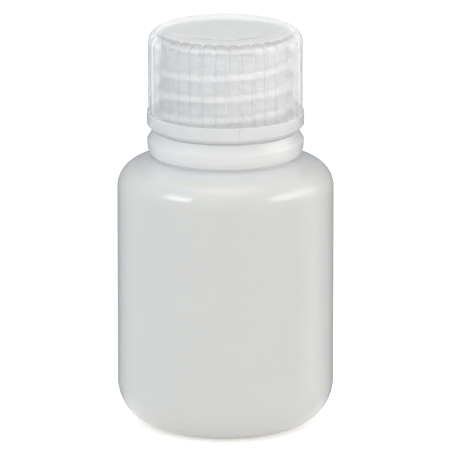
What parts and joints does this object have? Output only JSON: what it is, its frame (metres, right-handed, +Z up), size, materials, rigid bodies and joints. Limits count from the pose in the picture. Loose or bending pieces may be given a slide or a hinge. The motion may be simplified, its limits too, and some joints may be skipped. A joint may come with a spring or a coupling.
{
  "type": "wide-mouth bottle",
  "caption": "Small round translucent plastic bottle with a rounded base, a collar below the neck and a ribbed screw cap that turns and lifts on its thread.",
  "frame": {"origin": "centre of the standing ring, on the surface that the bottle stands on", "axes": "+Z up the bottle's axis, through the mouth; -Y is the front of the picture, +X its right"},
  "size_m": [0.0426, 0.0426, 0.0796],
  "materials": {
    "natural_soft_polyethylene": "milky translucent, satin",
    "sealing_polyethylene": "milky white, satin",
    "natural_polypropylene": "hazy clear, glossy"
  },
  "bodies": {
    "bottle": {"bottle": "natural_soft_polyethylene"},
    "sealing_plug": {"sealing_plug": "sealing_polyethylene"},
    "cap": {"cap": "natural_polypropylene"}
  },
  "joints": [
    {"name": "plug_lift", "type": "slide", "parent": "bottle", "child": "sealing_plug", "axis": [0, 0, 1], "range_m": [0, 0.01835]},
    {"name": "cap_turn", "type": "hinge", "parent": "sealing_plug", "child": "cap", "pos_m": [0, 0, 0.0594], "axis": [0, 0, 1], "range_deg": [0, 1560]}
  ],
  "couplings": [
    {"joint": "plug_lift", "follows": "cap_turn", "m_per_rad": 0.00067376}
  ]
}
